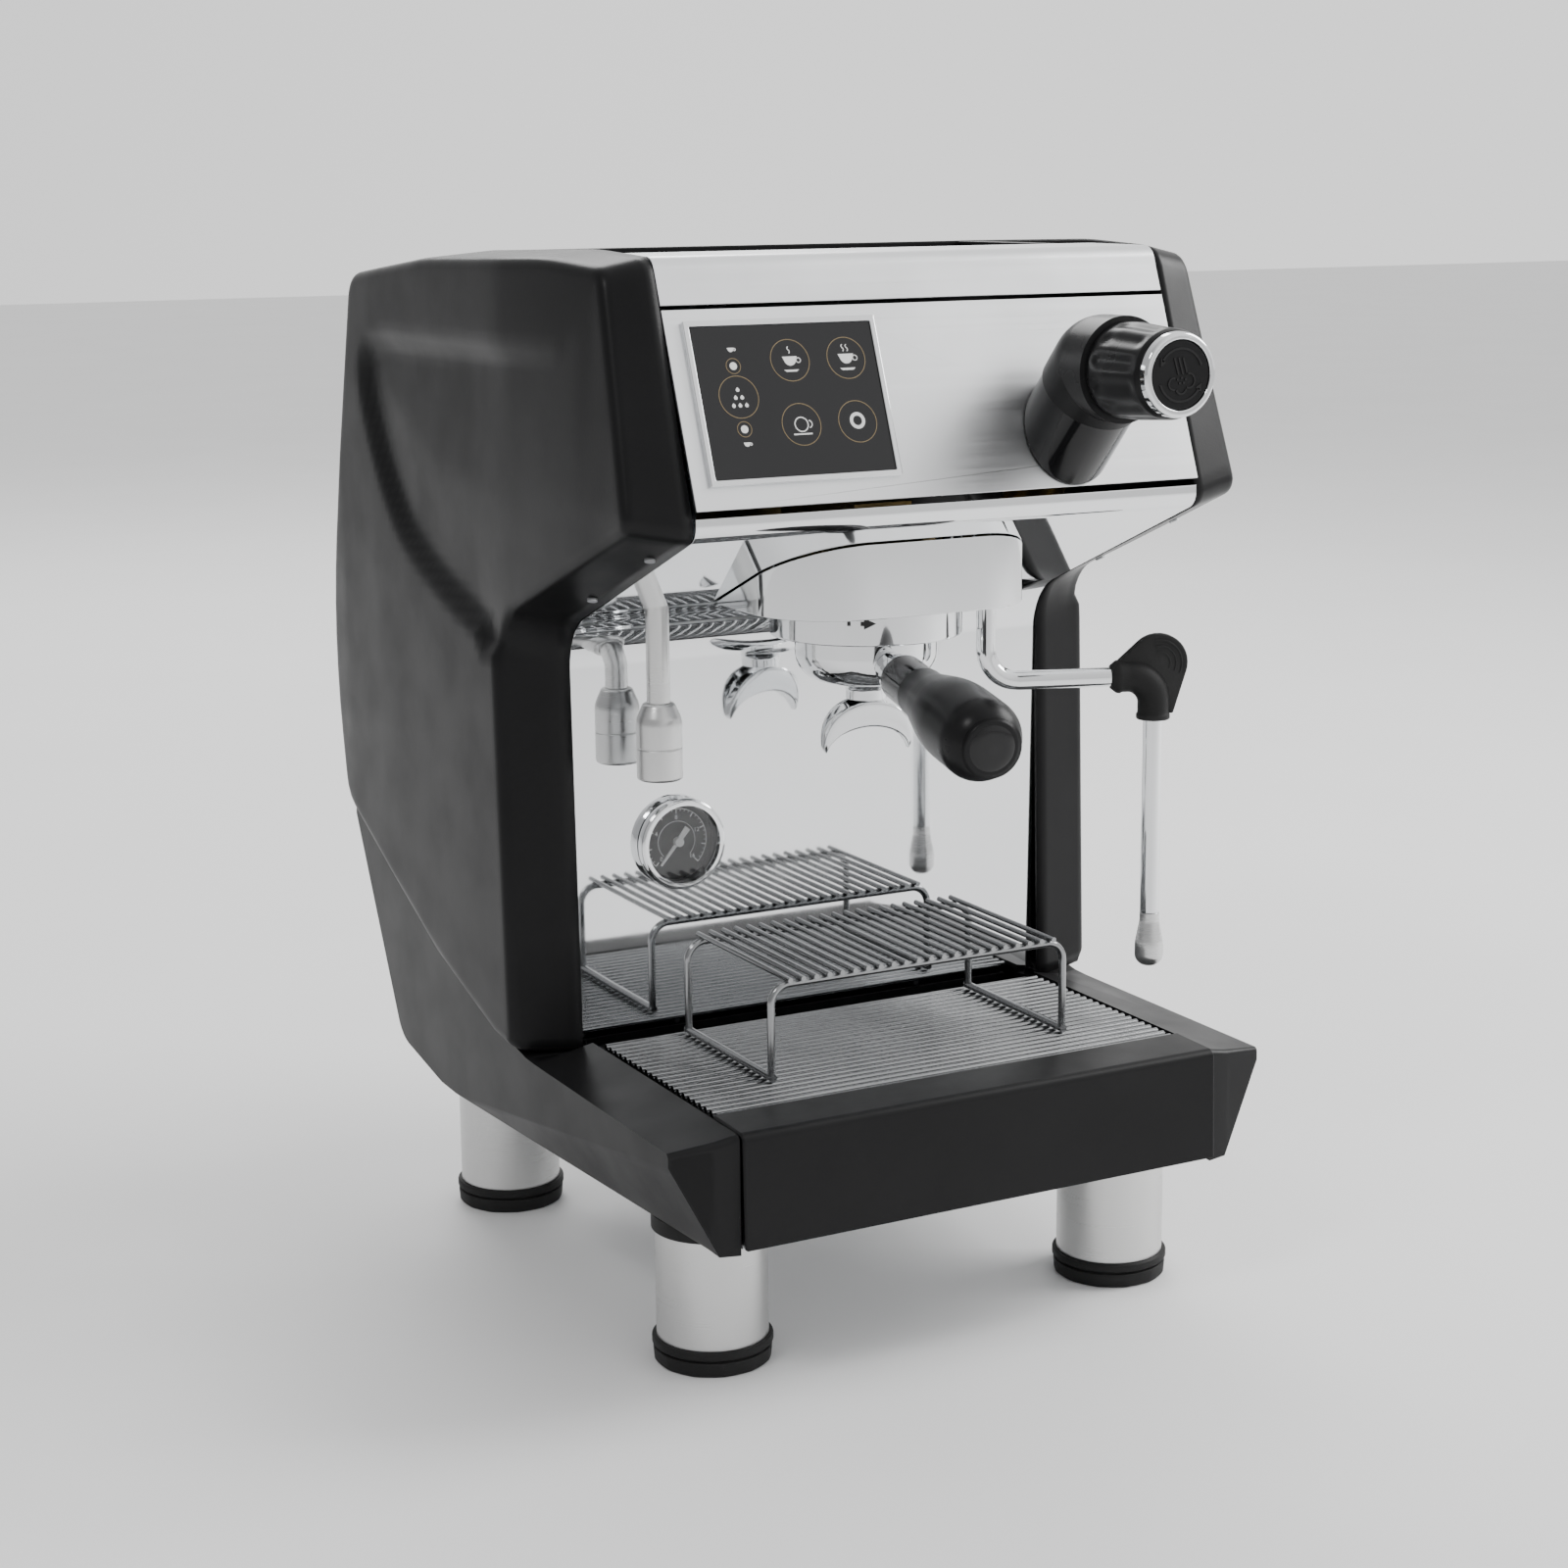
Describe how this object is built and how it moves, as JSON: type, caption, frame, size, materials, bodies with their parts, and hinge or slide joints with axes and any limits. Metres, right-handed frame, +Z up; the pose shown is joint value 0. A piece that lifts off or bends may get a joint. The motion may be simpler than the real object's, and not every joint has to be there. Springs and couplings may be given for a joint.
{
  "type": "espresso machine",
  "caption": "Countertop espresso machine: mirror-steel head and splash wall between moulded black side panels, portafilter, steam wand, wire cup stand and drip grid on tube feet.",
  "frame": {"origin": "on the counter, under the middle of the machine's bounding box", "axes": "+Z up, -Y towards the person making coffee, +X to the side with the steam wand"},
  "size_m": [0.326, 0.4398, 0.4904],
  "materials": {
    "black_abs": "satin moulded",
    "black_gloss": "polished",
    "knob_black": "satin moulded",
    "fascia_black": "satin moulded",
    "mirror_steel": "mirror polished stainless steel",
    "satin_steel": "bright satin stainless steel",
    "chrome": "chrome plated",
    "wire_chrome": "chrome plated wire",
    "brushed_steel": "brushed",
    "plain_steel": "mill finish",
    "rubber": "moulded",
    "panel_black": "gloss with printed signs",
    "board": "circuit board",
    "dial": "printed",
    "white_paint": "painted",
    "clear": "clear",
    "brass": "machined",
    "seal_rubber": "moulded",
    "tank_plastic": "translucent",
    "handle_black": "polished"
  },
  "bodies": {
    "machine": {"side_panel_right": "black_abs", "side_panel_left": "black_abs", "base_cover_right": "black_abs", "base_cover_left": "black_abs", "front_fascia": "fascia_black", "base_pan": "plain_steel", "foot_collars": "rubber", "foot_tubes": "brushed_steel", "foot_pads": "rubber", "splash_sheet": "mirror_steel", "head_panel": "satin_steel", "head_strip": "satin_steel", "cup_tray": "black_abs", "rear_panel": "plain_steel", "panel_bezel": "chrome", "panel_glass": "panel_black", "panel_board": "board", "knob_base": "black_gloss", "knob_elbow": "knob_black", "steam_valve": "brass", "group_cover": "chrome", "group_body": "brass", "group_collar": "chrome", "group_gasket": "seal_rubber", "shower_screen": "plain_steel", "screen_screw": "plain_steel", "water_nut": "chrome", "water_tube": "brushed_steel", "water_nozzle": "brushed_steel", "steam_nut": "chrome", "gauge_case": "chrome", "gauge_dial": "dial", "gauge_lens": "clear", "tank_shelf": "plain_steel", "boiler": "brass", "heating_element": "plain_steel", "pump": "black_abs", "power_inlet": "black_gloss", "panel_screws": "plain_steel"},
    "knob": {"steam_knob": "knob_black", "knob_ring": "chrome", "knob_cap": "knob_black"},
    "stem": {"valve_stem": "brass"},
    "portafilter": {"portafilter_body": "chrome", "filter_basket": "plain_steel", "portafilter_spout": "chrome", "handle_ferrule": "chrome", "portafilter_handle": "handle_black"},
    "wand": {"steam_tube": "chrome", "wand_grip": "rubber", "steam_wand": "chrome", "wand_tip": "brushed_steel"},
    "needle": {"gauge_needle": "white_paint"},
    "tray": {"drip_tray": "black_abs"},
    "grid": {"drip_grid": "wire_chrome"},
    "stand": {"cup_stand": "wire_chrome"},
    "tank": {"water_tank": "tank_plastic"},
    "lid": {"tank_lid": "black_abs"},
    "rocker": {"power_rocker": "black_gloss"}
  },
  "joints": [
    {"name": "steam_knob_turn", "type": "hinge", "parent": "machine", "child": "knob", "pos_m": [0.061, -0.1819, 0.4383], "axis": [0, -1, 0], "range_deg": [0, 270]},
    {"name": "valve_stem_turn", "type": "hinge", "parent": "machine", "child": "stem", "pos_m": [0.061, -0.1382, 0.409], "axis": [0, -0.6884, 0.7254], "range_deg": [0, 270]},
    {"name": "portafilter_turn", "type": "hinge", "parent": "machine", "child": "portafilter", "pos_m": [0, -0.065, 0.318], "axis": [0, 0, 1], "range_deg": [-48, 8]},
    {"name": "steam_wand_swing", "type": "hinge", "parent": "machine", "child": "wand", "pos_m": [0.048, -0.092, 0.34], "axis": [0, 0, 1], "range_deg": [-60, 35]},
    {"name": "gauge_needle_sweep", "type": "hinge", "parent": "machine", "child": "needle", "pos_m": [-0.0725, -0.0117, 0.2137], "axis": [0, 1, 0], "range_deg": [0, 250], "stiffness_Nm_per_rad": 0.001},
    {"name": "drip_tray_lift", "type": "slide", "parent": "machine", "child": "tray", "axis": [0, 0, 1], "range_m": [0, 0.01]},
    {"name": "drip_grid_lift", "type": "slide", "parent": "tray", "child": "grid", "axis": [0, 0, 1], "range_m": [0, 0.012]},
    {"name": "cup_stand_lift", "type": "slide", "parent": "grid", "child": "stand", "axis": [0, 0, 1], "range_m": [0, 0.05]},
    {"name": "water_tank_lift", "type": "slide", "parent": "machine", "child": "tank", "axis": [0, 0, 1], "range_m": [0, 0.06]},
    {"name": "tank_lid_lift", "type": "slide", "parent": "tank", "child": "lid", "axis": [0, 0, 1], "range_m": [0, 0.04]},
    {"name": "power_rocker_tilt", "type": "hinge", "parent": "machine", "child": "rocker", "pos_m": [0.0305, 0.163, 0.116], "axis": [0, 0, 1], "range_deg": [-15, 0]}
  ],
  "couplings": [
    {"joint": "valve_stem_turn", "follows": "steam_knob_turn", "ratio": 1}
  ]
}
